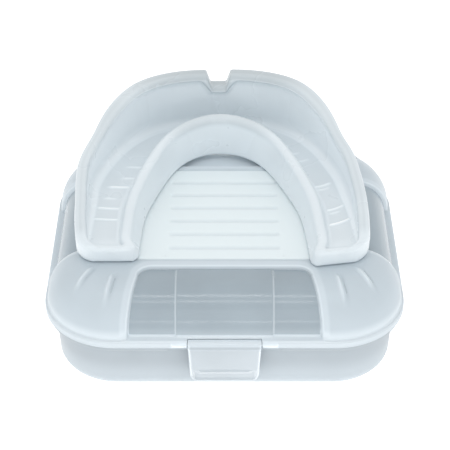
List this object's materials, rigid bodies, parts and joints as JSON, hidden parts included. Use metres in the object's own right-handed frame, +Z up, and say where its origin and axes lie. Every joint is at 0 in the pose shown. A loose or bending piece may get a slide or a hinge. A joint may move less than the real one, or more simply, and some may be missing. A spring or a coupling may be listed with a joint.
{
  "type": "mouthguard with case",
  "caption": "Translucent horseshoe mouthguard lying on its hinged storage case, which has a shallow tray, a domed lid with corner lobes and windows, and a swinging front latch tab.",
  "frame": {"origin": "centre of the tray's flat bottom face, on the surface the case stands on", "axes": "+Z up, +X across the case to the right seen from the latch, +Y from the latch towards the hinge"},
  "size_m": [0.0856, 0.0811, 0.0435],
  "materials": {
    "tray_plastic": "translucent frosted polypropylene",
    "lid_plastic": "translucent frosted polypropylene with polished windows",
    "latch_plastic": "translucent glossy polypropylene",
    "guard_rubber": "milky translucent soft mouthguard polymer, smooth gloss"
  },
  "bodies": {
    "tray": {"base_tray": "tray_plastic"},
    "lid": {"lid_shell": "lid_plastic"},
    "latch": {"latch_tab": "latch_plastic"},
    "guard": {"mouthguard": "guard_rubber"}
  },
  "joints": [
    {"name": "lid_hinge", "type": "hinge", "parent": "tray", "child": "lid", "pos_m": [0, 0.0386, 0.0142], "axis": [-1, 0, 0], "range_deg": [0, 110]},
    {"name": "latch_hinge", "type": "hinge", "parent": "lid", "child": "latch", "pos_m": [0, -0.0363, 0.0153], "axis": [-1, 0, 0], "range_deg": [0, 100]},
    {"name": "guard_lift", "type": "slide", "parent": "lid", "child": "guard", "axis": [0, 0, 1], "range_m": [0, 0.05]}
  ]
}
